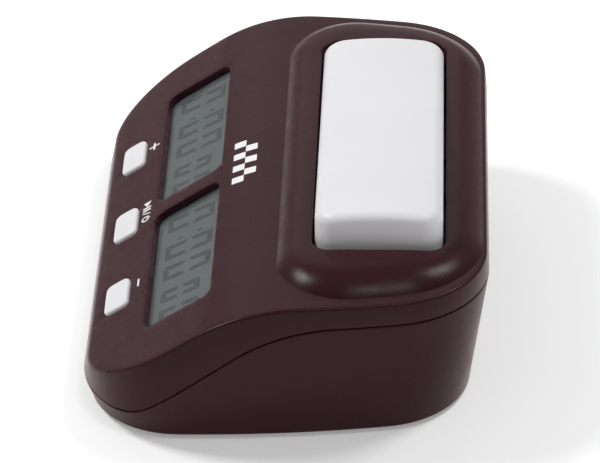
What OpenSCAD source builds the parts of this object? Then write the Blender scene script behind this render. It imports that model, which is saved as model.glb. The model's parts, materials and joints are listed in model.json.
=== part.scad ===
// Digital chess clock with one long see-saw rocker, two displays and three push buttons.
// Frame: +X is the clock's right, +Y its rear, +Z up; the origin is under its centre, where the feet stand.
// All sizes are in millimetres.

/* [Body] */
// Width across the front corners at the seam between the two shells
body_w = 155.4; // [154:0.2:157]
// Distance from the origin forward to the front edge at the seam
body_front = 53.8; // [53.4:0.1:54]
// Distance from the origin back to the rear edge at the seam
body_rear = 52.5; // [52.2:0.1:53]
// Height of the rear plateau above the table
plateau_z = 41.8; // [41.4:0.1:42.2]
// Slope of the display panel in degrees
panel_tilt = 33.9; // [33.5:0.1:34.5]
// Height of the seam at the rear
seam_rear_z = 35.9; // [35.5:0.1:36.2]
// Height of the seam at the front
seam_front_z = 8; // [7.6:0.1:8.4]
// Wall thickness of both shells
wall = 2.2; // [2:0.1:2.4]

/* [Island] */
// Height of the raised surround above the plateau
island_h = 3.7; // [3.3:0.1:3.9]
// Extra height of the surround along its middle
island_crown = 0.8; // [0.6:0.1:1]

/* [Rocker] */
// Length of the rocker
rocker_l = 104.6; // [104:0.1:105]
// Width of the rocker
rocker_w = 33.2; // [32.8:0.1:33.4]
// Height of the middle of the rocker's crowned top above the table when level
rocker_top_z = 51.8; // [51.3:0.1:52.2]
// Angle that each end of the rocker rises or falls from level, in degrees
rocker_tilt = 3.6; // [3:0.1:3.6]
// Radius of the steel pin that the rocker turns on
pin_r = 1.5; // [1.2:0.1:1.6]

/* [Display] */
// Width of each display window
window_w = 55.5; // [54:0.1:56]
// Height of each display window along the slope
window_l = 21.3; // [20.5:0.1:21.6]
// Distance from the clock's centre line to each window
window_gap = 3.3; // [3.2:0.1:3.8]

/* [Buttons] */
// Width of a button
button_w = 13.2; // [12.8:0.1:13.6]
// Length of a button along the slope
button_l = 7.5; // [7.3:0.1:7.8]
// Height that a button stands above the panel
button_proud = 1; // [0.8:0.1:1.2]
// How far a button can be pressed
button_travel = 0.6; // [0.4:0.1:0.7]
// Distance between neighbouring buttons
button_pitch = 35.2; // [34.5:0.1:36]

/* [Power] */
// Radius of the round cell
cell_r = 7.1; // [6.9:0.1:7.2]
// Length of the round cell without its nub
cell_l = 49.2; // [48.8:0.1:49.4]

/* [Hidden] */

$fn = 48;
eps = 0.01;

// --- Outlines of the shells ----------------------------------------------------------------------
// An outline is [front corner x, y, radius, rear corner x, y, radius, radius of the bowed side].
foot_h = 1.2;
front_r = 26.8;
rear_r = 27.6;
rear_half_w = 73.8;
side_r = 300;
seam_line = [
    body_w/2 - front_r, -body_front + front_r, front_r,
    rear_half_w - rear_r, body_rear - rear_r, rear_r, side_r
];
rim_inset = 1.3;
rim_rear_inset = 0.6;
rim_front_r = 22.6;
rim_line = [
    body_w/2 - rim_inset - rim_front_r, -body_front + rim_inset + rim_front_r, rim_front_r,
    rear_half_w - rear_r, body_rear - rear_r, rear_r - rim_rear_inset, side_r - rim_inset
];
base_line = [
    body_w/2 - 27.5, -body_front + 25.6, 24,
    rear_half_w - 29, body_rear - 30, 25.3, side_r + 20
];
island_line = [body_w/2 - 25.6, 15.9, 18.5, rear_half_w - 30.2, 25.6, 25.3, 200];
island_shoulder = 9.5;
shoulder_power = 2.7;
arc_n = 8;
side_n = 11;

// --- Heights along the depth ---------------------------------------------------------------------
panel_y = -37.4;
panel_z = 23.9;
panel_roll_r = 50;
seam_tilt = 36;
seam_mid_y = -26.5;
seam_mid_z = 17.8;
seam_front_r = 18;
seam_rear_r = 45;
seam_gap = 0.3;
lip_h = 1;
lip_t = 1.1;
lip_play = 0.3;
roof = 2.6;
floor_t = 2;
chamfer = 1;

// --- Rocker and its well -------------------------------------------------------------------------
rocker_y = 23.8;
rocker_h = 14.3;
rocker_wall = 2;
rocker_roof = 3.4;
rocker_corner = 6;
rocker_crown_r = 90;
pin_z = 40;
pin_play = 0.05;
well_l = 107.8;
well_w = 34.8;
well_corner = 5.6;
well_wall = 2;
well_floor_z = 34;
well_box_h = plateau_z + 2.4 - well_floor_z + well_wall;
post_x = 38;
post_r = 1.8;
post_hole_r = 3.4;
post_tip = 34.3;
leg_x = 20;
leg_r = 2.4;

// --- Boards --------------------------------------------------------------------------------------
board_t = 1.2;
switch_board_z = 26;
switch_size = 6;
switch_h = 3.4;
plunger_r = 1.7;
plunger_play = 0.05;
plunger_up = 1.35;
plunger_pressed = 0.25;
main_board_n = -7.6;
main_board_w = 122;
main_board_v = [-15, 30.5];
lens_n = -1.7;
lens_t = 0.85;
lens_margin = 1.5;
lens_w = window_w + 2*lens_margin;
lens_l = window_l + 2*lens_margin;
window_corner = 3;
holder_w = 122.4;
holder_l = 27.4;
lcd_n = -2.65;
lcd_t = 2.4;
button_v = -10;
button_corner = 2;
button_play = 0.25;
flange_n = -2.3;
flange_t = 1.1;
board_screw_spots = [[-55, -10], [-17.6, -10], [17.6, -10], [55, -10], [-30, 27], [30, 27]];

// --- Screws and feet -----------------------------------------------------------------------------
front_screw = [66.5, -30, 12];
rear_screw = [62.5, 28, 18];
screw_spots = [for (s = [-1, 1]) each [[s*front_screw[0], front_screw[1], front_screw[2]],
                                       [s*rear_screw[0], rear_screw[1], rear_screw[2]]]];
screw_head_z = 6;
screw_head_r = 2.8;
screw_head_h = 1.8;
screw_r = 1.4;
screw_bite = 7;
boss_r = 3.4;
small_screw_r = 0.9;
foot_r = 4.5;
foot_sink = 0.5;
foot_spots = [for (s = [-1, 1]) each [[s*58, -38], [s*50, 34]]];

// --- Battery bay and buzzer ----------------------------------------------------------------------
bay_y = 24;
bay_l = 58;
bay_w = 16.4;
bay_wall = 1.5;
bay_top = 12;
cell_z = 10.8;
door_l = 53.6;
door_w = 16;
door_t = 1.7;
door_play = 0.2;
spring_turns = 4;
spring_wire_r = 0.4;
buzzer_spot = [-42, -6];
buzzer_r = 9;
buzzer_h = 4.5;
lead_r = 0.6;

// --- Colours -------------------------------------------------------------------------------------
shell_colour = [0.30, 0.20, 0.21];
white_colour = [0.88, 0.88, 0.89];
board_colour = [0.10, 0.35, 0.18];
steel_colour = [0.75, 0.75, 0.77];
black_colour = [0.08, 0.08, 0.08];

// --- Functions -----------------------------------------------------------------------------------
function dir(t) = [cos(t), sin(t)];
function mix(a, b, t) = a + (b - a)*t;
function grown(c, front, rear) =
    [c[0], c[1], c[2] + front, c[3], c[4], c[5] + rear, c[6] + (front + rear)/2];

// One side of an outline from front to rear: corner arc, bowed side, corner arc
function half_outline(c) =
    let (
        a = [c[0], c[1]],
        b = [c[3], c[4]],
        ra = c[6] - c[2],
        rb = c[6] - c[5],
        d = norm(b - a),
        u = (b - a)/d,
        along = (ra*ra - rb*rb + d*d)/(2*d),
        s = a + along*u + sqrt(ra*ra - along*along)*[-u[1], u[0]],
        ta = atan2(a[1] - s[1], a[0] - s[0]),
        tb = atan2(b[1] - s[1], b[0] - s[0])
    )
    concat(
        [for (i = [0:arc_n - 1]) a + c[2]*dir(mix(-90, ta, i/arc_n))],
        [for (i = [0:side_n]) s + c[6]*dir(mix(ta, tb, i/side_n))],
        [for (i = [1:arc_n]) b + c[5]*dir(mix(tb, 90, i/arc_n))]
    );

// Height of a line through [y0, z0] that rises at an angle and bends level at z1 with radius r
function bend_down(y, y0, z0, tilt, z1, r) =
    let (corner = y0 + (z1 - z0)/tan(tilt), start = corner + r*tan(tilt/2), t = (start - y)/r)
    t <= 0 ? z1 :
    t >= sin(tilt) ? z0 + (y - y0)*tan(tilt) :
    z1 - r*(1 - sqrt(1 - t*t));

// Height of the rim between the roof and the side wall
function rim_z(y) = bend_down(y, panel_y, panel_z, panel_tilt, plateau_z, panel_roll_r);

// Height of the seam: level at the front, rising at seam_tilt, and level at the rear
function seam_z(y) =
    y > seam_mid_y ?
        bend_down(y, seam_mid_y, seam_mid_z, seam_tilt, seam_rear_z, seam_rear_r) :
        2*seam_mid_z - bend_down(2*seam_mid_y - y, seam_mid_y, seam_mid_z, seam_tilt,
                                 2*seam_mid_z - seam_front_z, seam_front_r);

// A point given on the display panel: x, distance v up the slope, distance n out of the panel
function on_panel_point(x, v, n) =
    [x, panel_y + v*cos(panel_tilt) - n*sin(panel_tilt), panel_z + v*sin(panel_tilt) + n*cos(panel_tilt)];

// --- Shared shapes -------------------------------------------------------------------------------
// Solid lofted through levels, each [outline, function that gives the height at y]
module loft(levels) {
    sides = [for (l = levels) [for (p = half_outline(l[0])) [p[0], p[1], l[1](p[1])]]];
    m = len(sides[0]);
    top = 2*m*(len(levels) - 1);
    points = [for (s = sides) each concat(s, [for (p = s) [-p[0], p[1], p[2]]])];
    quads = [
        for (k = [0:len(levels) - 2]) each
            let (lo = 2*m*k, hi = lo + 2*m) concat(
                [for (i = [0:m - 2]) [lo + i, hi + i, hi + i + 1, lo + i + 1]],
                [for (i = [m:2*m - 2]) [lo + i + 1, hi + i + 1, hi + i, lo + i]],
                [[lo + m, hi + m, hi, lo]],
                [[lo + m - 1, hi + m - 1, hi + 2*m - 1, lo + 2*m - 1]]
            )
    ];
    strips = [for (i = [0:m - 2]) [i, i + 1, m + i + 1, m + i]];
    lids = [for (q = strips) [top + q[3], top + q[2], top + q[1], top + q[0]]];
    faces = [for (q = concat(quads, strips, lids)) each [[q[0], q[1], q[2]], [q[0], q[2], q[3]]]];
    polyhedron(points = points, faces = faces);
}

// Round tube swept along points, as one solid
module tube(path, r, sides = 8) {
    n = len(path);
    tangent = [for (i = [0:n - 1]) let (d = path[min(i + 1, n - 1)] - path[max(i - 1, 0)]) d/norm(d)];
    up = [for (t = tangent) let (w = abs(t[0]) < 0.8 ? [1, 0, 0] : [0, 0, 1], c = cross(t, w)) c/norm(c)];
    points = [
        for (i = [0:n - 1]) for (k = [0:sides - 1])
            path[i] + r*(cos(360*k/sides)*up[i] + sin(360*k/sides)*cross(tangent[i], up[i]))
    ];
    skin = [
        for (i = [0:n - 2]) for (k = [0:sides - 1])
            [i*sides + k, (i + 1)*sides + k, (i + 1)*sides + (k + 1)%sides, i*sides + (k + 1)%sides]
    ];
    ends = [[for (k = [0:sides - 1]) k], [for (k = [sides - 1:-1:0]) (n - 1)*sides + k]];
    polyhedron(points = points, faces = concat(skin, ends));
}

// Points of a gentle S curve between two points, leaving and arriving along the given directions
function lead_path(a, leave, b, arrive, n = 9) =
    [for (i = [0:n]) let (t = i/n) pow(1 - t, 3)*a + 3*t*pow(1 - t, 2)*(a + leave)
        + 3*t*t*(1 - t)*(b + arrive) + pow(t, 3)*b];

module rounded_square(w, l, r) {
    square([w - 2*r, l], center = true);
    square([w, l - 2*r], center = true);
    for (x = [-1, 1]) {
        for (y = [-1, 1]) {
            translate([x*(w/2 - r), y*(l/2 - r)]) circle(r = r);
        }
    }
}

module block(w, l, h, r) {
    linear_extrude(h) rounded_square(w, l, r);
}

module on_panel() {
    translate([0, panel_y, panel_z]) rotate([panel_tilt, 0, 0]) children();
}

// Places a piece at the middle of the left (-1) or right (1) window, at height n over the panel
module at_window(side, n) {
    on_panel() translate([side*(window_gap + window_w/2), window_l/2, n]) children();
}

module at_button(place, n) {
    on_panel() translate([place*button_pitch, button_v, n]) children();
}

// Outline of the rocker, made smaller by inset
module rocker_outline(inset) {
    rounded_square(rocker_l - 2*inset, rocker_w - 2*inset, rocker_corner - inset);
}

// --- Shells --------------------------------------------------------------------------------------
module top_skin() {
    loft([[seam_line, function(y) seam_z(y)], [rim_line, function(y) rim_z(y)]]);
}

// Raised surround of the rocker: a round shoulder and a top that is highest along its middle
module island() {
    steps = 4;
    half_w = well_w/2;
    shoulder = [
        for (i = [1:steps - 1]) let (t = i/steps)
            [grown(island_line, -t*island_shoulder, -t*island_shoulder),
             function(y) plateau_z + island_h*(1 - pow(1 - t, shoulder_power))]
    ];
    top = [grown(island_line, -island_shoulder, -island_shoulder),
           function(y) plateau_z + island_h + island_crown*max(0, 1 - pow((y - rocker_y)/half_w, 2))];
    loft(concat(
        [[island_line, function(y) plateau_z - 1.2], [island_line, function(y) plateau_z + 0.1]],
        shoulder, [top]
    ));
}

module island_cavity() {
    loft([
        [grown(island_line, -3.6, -3.6), function(y) plateau_z - roof - 1],
        [grown(island_line, -5.5, -5.5), function(y) plateau_z + 0.3*island_h]
    ]);
}

module top_cavity() {
    loft([
        [grown(seam_line, -wall, -wall), function(y) seam_z(y) - 3],
        [grown(seam_line, -wall, -wall), function(y) seam_z(y) + lip_h + 0.2],
        [grown(rim_line, -wall, -wall), function(y) rim_z(y) - roof]
    ]);
}

module screw_boss(spot) {
    height = min(rim_z(spot[1] - 3), plateau_z) - 1;
    translate([spot[0], spot[1], spot[2]]) cylinder(r = boss_r, h = height - spot[2]);
}

module top_housing() {
    color(shell_colour)
    difference() {
        union() {
            difference() {
                union() {
                    top_skin();
                    island();
                }
                top_cavity();
                island_cavity();
                // flat seats for the lenses and the frame behind them
                for (side = [-1, 1]) {
                    at_window(side, -9) block(lens_w + 0.2, lens_l + 0.2, 9 + lens_n, 1);
                }
                on_panel() translate([0, window_l/2, -14])
                    block(holder_w + 0.6, holder_l + 0.6, 14 + lcd_n, 1);
            }
            // well that the rocker stands in
            translate([0, rocker_y, well_floor_z - well_wall])
                block(well_l + 2*well_wall, well_w + 2*well_wall, well_box_h, well_corner + well_wall);
            for (spot = screw_spots) {
                screw_boss(spot);
            }
            for (spot = board_screw_spots) {
                on_panel() translate([spot[0], spot[1], main_board_n])
                    cylinder(r = leg_r, h = -main_board_n - 1.8);
            }
            // legs for the switch board
            for (x = [-leg_x, leg_x]) {
                translate([x, rocker_y, switch_board_z + board_t])
                    cylinder(r = leg_r, h = well_floor_z - switch_board_z - board_t - 1);
            }
        }
        // mouth of the well
        translate([0, rocker_y, well_floor_z]) block(well_l, well_w, 20, well_corner);
        for (x = [-post_x, post_x]) {
            translate([x, rocker_y, well_floor_z - 4]) cylinder(r = post_hole_r, h = 6);
        }
        translate([0, rocker_y - 25, pin_z]) rotate([-90, 0, 0]) cylinder(r = pin_r + 0.02, h = 46);
        // windows and button holes
        for (side = [-1, 1]) {
            at_window(side, -10) block(window_w, window_l, 20, window_corner);
        }
        for (place = [-1, 0, 1]) {
            at_button(place, -6)
                block(button_w + 2*button_play, button_l + 2*button_play, 12, button_corner + button_play);
        }
        // screw pilots
        for (spot = screw_spots) {
            translate([spot[0], spot[1], spot[2] - eps]) cylinder(r = screw_r + 0.02, h = screw_bite + 0.5);
        }
        for (spot = board_screw_spots) {
            on_panel() translate([spot[0], spot[1], main_board_n - eps])
                cylinder(r = small_screw_r + 0.02, h = 4.2);
        }
        for (x = [-leg_x, leg_x]) {
            translate([x, rocker_y, switch_board_z]) cylinder(r = small_screw_r + 0.02, h = 5.6);
        }
    }
}

module bottom_skin() {
    loft([
        [grown(base_line, -chamfer, -chamfer), function(y) foot_h],
        [base_line, function(y) foot_h + chamfer],
        [seam_line, function(y) seam_z(y) - seam_gap]
    ]);
}

module bottom_cavity() {
    loft([
        [grown(base_line, -wall, -wall), function(y) foot_h + floor_t],
        [grown(seam_line, -wall, -wall), function(y) seam_z(y) + 2]
    ]);
}

// Lip inside the wall that keeps the two shells in line
module locating_lip() {
    lip = grown(seam_line, -wall - lip_play, -wall - lip_play);
    difference() {
        loft([
            [grown(seam_line, -1.2, -1.2), function(y) seam_z(y) - 3],
            [lip, function(y) seam_z(y) - seam_gap],
            [lip, function(y) seam_z(y) + lip_h]
        ]);
        loft([
            [grown(lip, -lip_t, -lip_t), function(y) seam_z(y) - 5],
            [grown(lip, -lip_t, -lip_t), function(y) seam_z(y) + 3]
        ]);
    }
}

module bottom_housing() {
    color(shell_colour)
    difference() {
        union() {
            difference() {
                bottom_skin();
                bottom_cavity();
            }
            locating_lip();
            for (spot = screw_spots) {
                translate([spot[0], spot[1], foot_h + 1]) cylinder(r = 4, h = spot[2] - foot_h - 1.1);
            }
            // walls of the battery bay
            translate([0, bay_y, foot_h + 1])
                block(bay_l + 2*bay_wall, bay_w + 2*bay_wall, bay_top - foot_h, 1);
            // collar round the buzzer
            translate([buzzer_spot[0], buzzer_spot[1], foot_h + 1]) cylinder(r = buzzer_r + 1.4, h = 3.5);
        }
        translate([0, bay_y, foot_h + floor_t + 0.3]) block(bay_l, bay_w, 20, 0.5);
        translate([0, bay_y, 0]) block(door_l + 2*door_play, door_w + 2*door_play, 8, 1);
        translate([buzzer_spot[0], buzzer_spot[1], foot_h + floor_t]) cylinder(r = buzzer_r + 0.15, h = 10);
        for (t = [0:60:300]) {
            translate([buzzer_spot[0] + 4*cos(t), buzzer_spot[1] + 4*sin(t), 0]) cylinder(r = 0.9, h = 6);
        }
        translate([buzzer_spot[0], buzzer_spot[1], 0]) cylinder(r = 0.9, h = 6);
        for (spot = screw_spots) {
            translate([spot[0], spot[1], 0]) cylinder(r = 3.2, h = screw_head_z);
            translate([spot[0], spot[1], 0]) cylinder(r = 1.6, h = 30);
        }
        for (spot = foot_spots) {
            translate([spot[0], spot[1], 0]) cylinder(r = foot_r + 0.1, h = foot_h + foot_sink);
        }
        // room for the ends of the battery leads
        for (x = [-1, 1]) {
            translate([x*(bay_l/2 + bay_wall), bay_y, bay_top + 0.5]) cube([4, 4, 2.5], center = true);
        }
    }
}

module battery_door() {
    color(shell_colour)
    difference() {
        translate([0, bay_y, foot_h]) block(door_l, door_w, door_t, 0.8);
        // finger groove
        translate([-door_l/2 + 5, bay_y - 5, foot_h]) rotate([-90, 0, 0]) cylinder(r = 1, h = 10);
        for (x = [-6:3:6]) {
            translate([x, bay_y - 4, foot_h - 0.5]) cube([1, 8, 1]);
        }
    }
}

module housing_screws() {
    color(steel_colour)
    for (spot = screw_spots) {
        translate([spot[0], spot[1], screw_head_z - screw_head_h])
        difference() {
            union() {
                cylinder(r = screw_head_r, h = screw_head_h);
                cylinder(r = screw_r, h = spot[2] - screw_head_z + screw_head_h + screw_bite);
            }
            for (a = [0, 90]) {
                rotate([0, 0, a]) cube([3.4, 0.8, 2], center = true);
            }
        }
    }
}

module rubber_feet() {
    color(black_colour)
    for (spot = foot_spots) {
        translate([spot[0], spot[1], 0]) cylinder(r = foot_r, h = foot_h + foot_sink);
    }
}

// --- Rocker --------------------------------------------------------------------------------------
module rocker() {
    color(white_colour)
    translate([0, rocker_y, pin_z]) rotate([0, -rocker_tilt, 0]) translate([0, 0, -pin_z])
    difference() {
        union() {
            difference() {
                intersection() {
                    translate([0, 0, rocker_top_z - rocker_h]) linear_extrude(rocker_h) rocker_outline(0);
                    translate([-rocker_l/2 - 1, 0, rocker_top_z - rocker_crown_r])
                        rotate([0, 90, 0]) cylinder(r = rocker_crown_r, h = rocker_l + 2, $fn = 240);
                }
                translate([0, 0, rocker_top_z - rocker_h - 1])
                    linear_extrude(rocker_h - rocker_roof + 1) rocker_outline(rocker_wall);
            }
            // ribs across the inside
            for (x = [-26, -13, 13, 26]) {
                translate([x - 0.6, -rocker_w/2 + 1, rocker_top_z - 8]) cube([1.2, rocker_w - 2, 6]);
            }
            // posts over the two switches
            for (x = [-post_x, post_x]) {
                translate([x, 0, post_tip]) cylinder(r = post_r, h = rocker_top_z - post_tip - 1);
            }
            // bearing tube round the pin
            translate([0, -rocker_w/2 + 1, pin_z]) rotate([-90, 0, 0]) cylinder(r = 2.9, h = rocker_w - 2);
            translate([-1, -rocker_w/2 + 1, pin_z + 2]) cube([2, rocker_w - 2, rocker_top_z - pin_z - 4]);
        }
        translate([0, -rocker_w, pin_z]) rotate([-90, 0, 0]) cylinder(r = pin_r + pin_play, h = 2*rocker_w);
    }
}

module rocker_pin() {
    color(steel_colour)
    translate([0, rocker_y - well_w/2 - 3, pin_z]) rotate([-90, 0, 0]) cylinder(r = pin_r, h = well_w + 6);
}

module switch_board() {
    color(board_colour)
    difference() {
        translate([-45, rocker_y - 7, switch_board_z]) cube([90, 14, board_t]);
        for (x = [-leg_x, leg_x]) {
            translate([x, rocker_y, switch_board_z - 1]) cylinder(r = small_screw_r + 0.2, h = 4);
        }
    }
}

module small_screw() {
    cylinder(r = small_screw_r, h = 4.8);
    translate([0, 0, -1]) cylinder(r = 2*small_screw_r, h = 1);
}

module switch_board_screws() {
    color(steel_colour)
    for (x = [-leg_x, leg_x]) {
        translate([x, rocker_y, switch_board_z]) small_screw();
    }
}

module switch_case() {
    difference() {
        translate([-switch_size/2, -switch_size/2, 0]) cube([switch_size, switch_size, switch_h]);
        translate([0, 0, switch_h - 2.2]) cylinder(r = plunger_r + plunger_play, h = 3);
    }
}

module rocker_switch(side) {
    color(black_colour) translate([side*(post_x - 0.3), rocker_y, switch_board_z + board_t]) switch_case();
}

module rocker_plunger(side, sink) {
    color(white_colour)
    translate([side*(post_x - 0.3), rocker_y, switch_board_z + board_t + switch_h + plunger_up - sink])
        mirror([0, 0, 1]) cylinder(r = plunger_r, h = 2.6);
}

module left_switch() { rocker_switch(-1); }
module right_switch() { rocker_switch(1); }
module left_plunger() { rocker_plunger(-1, plunger_pressed); }
module right_plunger() { rocker_plunger(1, 0); }

// --- Display -------------------------------------------------------------------------------------
module lens(side) {
    color([0.85, 0.9, 0.9, 0.35])
    at_window(side, lens_n - lens_t) block(lens_w, lens_l, lens_t, 1);
}

module lcd(side) {
    color([0.46, 0.50, 0.51])
    at_window(side, lcd_n - lcd_t) block(lens_w, lens_l, lcd_t, 0.5);
}

module zebra_strip(side) {
    color([0.7, 0.4, 0.5])
    at_window(side, main_board_n) translate([-25, window_l/2 - 3, 0])
        cube([50, 2, lcd_n - lcd_t - main_board_n]);
}

module left_lens() { lens(-1); }
module right_lens() { lens(1); }
module left_lcd() { lcd(-1); }
module right_lcd() { lcd(1); }
module left_zebra_strip() { zebra_strip(-1); }
module right_zebra_strip() { zebra_strip(1); }

module lcd_holder() {
    color(black_colour)
    difference() {
        on_panel() translate([0, window_l/2, main_board_n + 0.1])
            block(holder_w, holder_l, lcd_n - 0.15 - main_board_n, 1);
        for (side = [-1, 1]) {
            at_window(side, lcd_n - lcd_t - 0.05) block(lens_w + 0.3, lens_l + 0.3, 6, 0.7);
            at_window(side, main_board_n - 1) block(window_w - 1, window_l, 8, 1);
        }
    }
}

module main_board() {
    color(board_colour)
    difference() {
        on_panel() translate([-main_board_w/2, main_board_v[0], main_board_n - board_t])
            cube([main_board_w, main_board_v[1] - main_board_v[0], board_t]);
        for (spot = board_screw_spots) {
            on_panel() translate([spot[0], spot[1], main_board_n - 2])
                cylinder(r = small_screw_r + 0.2, h = 4);
        }
    }
}

module main_board_screws() {
    color(steel_colour)
    for (spot = board_screw_spots) {
        on_panel() translate([spot[0], spot[1], main_board_n - board_t]) small_screw();
    }
}

// Round blob of resin over the controller chip, on the back of the board
module controller_blob() {
    color(black_colour)
    on_panel() translate([0, 8, main_board_n - board_t - 0.02]) intersection() {
        translate([0, 0, 10]) sphere(r = 12);
        translate([0, 0, -5]) cylinder(r = 12, h = 5);
    }
}

module timing_crystal() {
    color(steel_colour)
    on_panel() translate([16, 4, main_board_n - board_t - 1.1]) rotate([0, 90, 0]) cylinder(r = 1, h = 6);
}

module capacitor() {
    color([0.15, 0.2, 0.5])
    on_panel() translate([-20, 6, main_board_n - board_t - 7.02]) cylinder(r = 2.5, h = 7);
}

// --- Buttons -------------------------------------------------------------------------------------
module button(place) {
    color(white_colour) {
        at_button(place, flange_n - flange_t)
            block(button_w, button_l, button_proud - flange_n + flange_t, button_corner);
        at_button(place, flange_n - flange_t) block(button_w + 2, button_l + 1.8, flange_t, button_corner);
    }
}

module key_switch(place) {
    color(black_colour) at_button(place, main_board_n) switch_case();
}

module key_plunger(place) {
    color(white_colour)
    at_button(place, flange_n - flange_t - 2) cylinder(r = plunger_r, h = 2);
}

module plus_button() { button(-1); }
module play_button() { button(0); }
module minus_button() { button(1); }
module plus_key_switch() { key_switch(-1); }
module play_key_switch() { key_switch(0); }
module minus_key_switch() { key_switch(1); }
module plus_key_plunger() { key_plunger(-1); }
module play_key_plunger() { key_plunger(0); }
module minus_key_plunger() { key_plunger(1); }

// --- Power and sound -----------------------------------------------------------------------------
module buzzer() {
    color(black_colour)
    translate([buzzer_spot[0], buzzer_spot[1], foot_h + floor_t]) difference() {
        cylinder(r = buzzer_r, h = buzzer_h);
        translate([0, 0, -1]) cylinder(r = 6, h = 2);
    }
}

module battery() {
    color([0.2, 0.2, 0.22])
    translate([-cell_l/2 + 0.6, bay_y, cell_z]) rotate([0, 90, 0]) {
        cylinder(r = cell_r, h = cell_l);
        cylinder(r = 2.7, h = cell_l + 1.2);
    }
}

module contact_spring() {
    x0 = -bay_l/2 + 0.6;
    x1 = -cell_l/2 + 0.6 - spring_wire_r - 0.05;
    steps = 12*spring_turns;
    color(steel_colour) {
        translate([-bay_l/2 + 0.1, bay_y - 5, cell_z - 5]) cube([0.5, 10, 9]);
        tube([for (i = [0:steps]) let (t = i/steps, r = mix(4.4, 2.4, t))
            [mix(x0, x1, t), bay_y + r*cos(30*i), cell_z + r*sin(30*i)]], spring_wire_r);
    }
}

module contact_plate() {
    color(steel_colour) {
        translate([bay_l/2 - 0.6, bay_y - 5, cell_z - 5]) cube([0.5, 10, 9]);
        translate([cell_l/2 + 1.9, bay_y, cell_z])
            rotate([0, 90, 0]) cylinder(r = 2, h = bay_l/2 - 2.3 - cell_l/2);
    }
}

module positive_lead() {
    color([0.7, 0.1, 0.1])
    tube(lead_path([bay_l/2 + 0.8, bay_y, bay_top + 0.8], [12, 0, 3],
                   on_panel_point(30, 12, main_board_n - board_t - 0.1), [0, 12, -18]), lead_r);
}

module negative_lead() {
    color(black_colour)
    tube(lead_path([-bay_l/2 - 0.8, bay_y, bay_top + 0.8], [-12, 0, 3],
                   on_panel_point(-26, 12, main_board_n - board_t - 0.1), [0, 12, -18]), lead_r);
}

module buzzer_leads() {
    color([0.7, 0.1, 0.1])
    for (x = [-2, 2]) {
        start = [buzzer_spot[0] + x, buzzer_spot[1], foot_h + floor_t + buzzer_h + 0.1];
        end = on_panel_point(buzzer_spot[0] + x, 14, main_board_n - board_t - 0.1);
        tube(lead_path(start, [0, 0, 6], end, [0, 5, -7]), lead_r);
    }
}

module switch_leads() {
    color([0.8, 0.8, 0.8])
    for (x = [-2, 0, 2]) {
        tube(lead_path([x, rocker_y - 5, switch_board_z - 0.4], [0, 0, -6],
                       on_panel_point(x, 25, main_board_n - board_t - 0.4), [0, 4, -6]), lead_r);
    }
}

top_housing();
bottom_housing();
battery_door();
housing_screws();
rubber_feet();
rocker();
rocker_pin();
switch_board();
switch_board_screws();
left_switch();
left_plunger();
right_switch();
right_plunger();
left_lens();
right_lens();
left_lcd();
right_lcd();
left_zebra_strip();
right_zebra_strip();
lcd_holder();
main_board();
main_board_screws();
controller_blob();
timing_crystal();
capacitor();
plus_button();
play_button();
minus_button();
plus_key_switch();
play_key_switch();
minus_key_switch();
plus_key_plunger();
play_key_plunger();
minus_key_plunger();
buzzer();
battery();
contact_spring();
contact_plate();
positive_lead();
negative_lead();
buzzer_leads();
switch_leads();
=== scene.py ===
import json
import math

import bmesh
import bpy
import numpy as np
from mathutils import Matrix, Vector
from mathutils.geometry import delaunay_2d_cdt


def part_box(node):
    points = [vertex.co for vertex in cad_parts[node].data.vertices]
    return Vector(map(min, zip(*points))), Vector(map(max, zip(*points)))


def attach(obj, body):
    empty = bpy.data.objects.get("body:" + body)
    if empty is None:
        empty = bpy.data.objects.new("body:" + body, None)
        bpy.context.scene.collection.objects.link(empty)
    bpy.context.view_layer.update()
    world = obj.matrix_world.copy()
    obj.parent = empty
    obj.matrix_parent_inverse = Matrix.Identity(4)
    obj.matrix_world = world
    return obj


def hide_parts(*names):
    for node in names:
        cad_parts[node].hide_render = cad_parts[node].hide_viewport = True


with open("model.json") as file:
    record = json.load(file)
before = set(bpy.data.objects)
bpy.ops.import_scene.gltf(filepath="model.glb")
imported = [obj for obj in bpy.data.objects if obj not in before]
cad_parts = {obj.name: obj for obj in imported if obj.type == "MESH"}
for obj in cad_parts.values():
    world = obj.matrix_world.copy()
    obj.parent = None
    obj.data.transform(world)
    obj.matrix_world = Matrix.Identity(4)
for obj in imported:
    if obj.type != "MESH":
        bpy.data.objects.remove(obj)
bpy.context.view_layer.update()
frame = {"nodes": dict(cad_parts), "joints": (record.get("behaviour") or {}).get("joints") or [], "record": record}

# All shapes below are worked out in millimetres, in the frame's own axes, and made in metres.
MM = 0.001


# --- Sizes taken from the frame -----------------------------------------------------------------
def box_mm(node):
    low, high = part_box(node)
    return np.array(low)/MM, np.array(high)/MM


FOOT_H = box_mm("bottom_housing")[0][2]

# --- Camera ---------------------------------------------------------------------------------------
HEADING, RISE, ROLL = math.radians(2.263), math.radians(32.5), math.radians(-0.801)
CAMERA_AWAY = 1107.3
CAMERA_AIM = Vector((0, 1.55, 17.09))
LENS, SENSOR = 243.9, 36


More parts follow.
